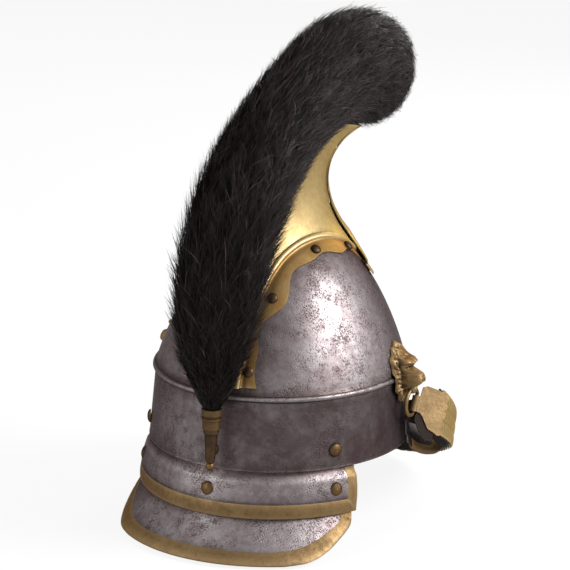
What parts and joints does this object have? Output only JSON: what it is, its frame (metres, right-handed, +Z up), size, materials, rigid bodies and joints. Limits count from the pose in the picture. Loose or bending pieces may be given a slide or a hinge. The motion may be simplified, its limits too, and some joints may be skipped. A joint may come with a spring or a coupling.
{
  "type": "cuirassier helmet",
  "caption": "Steel cavalry helmet with a tall brass comb, black horsehair crest, lion bosses, chin scales, peak and a hinged neck guard.",
  "frame": {"origin": "middle of the oval head opening, level with the lower rim of the steel skull", "axes": "+Z up through the crown, +Y towards the peak, +X towards the wearer's right side"},
  "size_m": [0.2498, 0.3334, 0.3805],
  "materials": {
    "worn_steel": "hand polished, with brown patina and dark pits",
    "aged_brass": "dull, toned",
    "comb_brass": "polished by handling",
    "dark_brass": "dark toned, engraved",
    "dark_iron": "dull",
    "horsehair": "coarse hair, low sheen",
    "strap_leather": "dark, worn",
    "lining_leather": "matt"
  },
  "bodies": {
    "helmet": {"skull": "worn_steel", "peak": "worn_steel", "peak_trim": "aged_brass", "peak_rivets": "aged_brass", "comb_right": "comb_brass", "comb_left": "comb_brass", "comb_front": "comb_brass", "comb_rail": "comb_brass", "comb_rivets": "comb_brass", "crest": "horsehair", "ferrule_collar": "dark_brass", "ferrule_tip": "dark_brass", "ferrule_knob": "dark_brass", "lion_boss_right": "aged_brass", "lion_boss_left": "aged_brass", "ring_staple_right": "aged_brass", "ring_staple_left": "aged_brass", "staple_nuts": "dark_iron", "neck_rivets": "aged_brass", "sweatband": "lining_leather", "lining_tongues": "lining_leather"},
    "upper_lame": {"upper_lame": "worn_steel", "upper_lame_trim": "aged_brass", "lame_rivets": "aged_brass"},
    "lower_lame": {"lower_lame": "worn_steel", "lower_lame_trim": "aged_brass"},
    "chin_strap": {"ring_right": "aged_brass", "ring_left": "aged_brass", "hinge_plate_right": "aged_brass", "hinge_plate_left": "aged_brass", "strap_leather_right": "strap_leather", "strap_leather_left": "strap_leather", "scales_right": "aged_brass", "scales_left": "aged_brass", "buckle_frame": "aged_brass", "buckle_tongue": "aged_brass", "strap_keeper": "strap_leather"}
  },
  "joints": [
    {"name": "upper_lame_lift", "type": "hinge", "parent": "helmet", "child": "upper_lame", "pos_m": [0, -0.0668, 0.014], "axis": [1, 0, 0], "range_deg": [-3, 0]},
    {"name": "lower_lame_lift", "type": "hinge", "parent": "upper_lame", "child": "lower_lame", "pos_m": [0, -0.0694, -0.015], "axis": [1, 0, 0], "range_deg": [-3, 0]},
    {"name": "chin_strap_swing", "type": "hinge", "parent": "helmet", "child": "chin_strap", "pos_m": [0, 0.012, 0.036], "axis": [1, 0, 0], "range_deg": [-75, 15]}
  ]
}
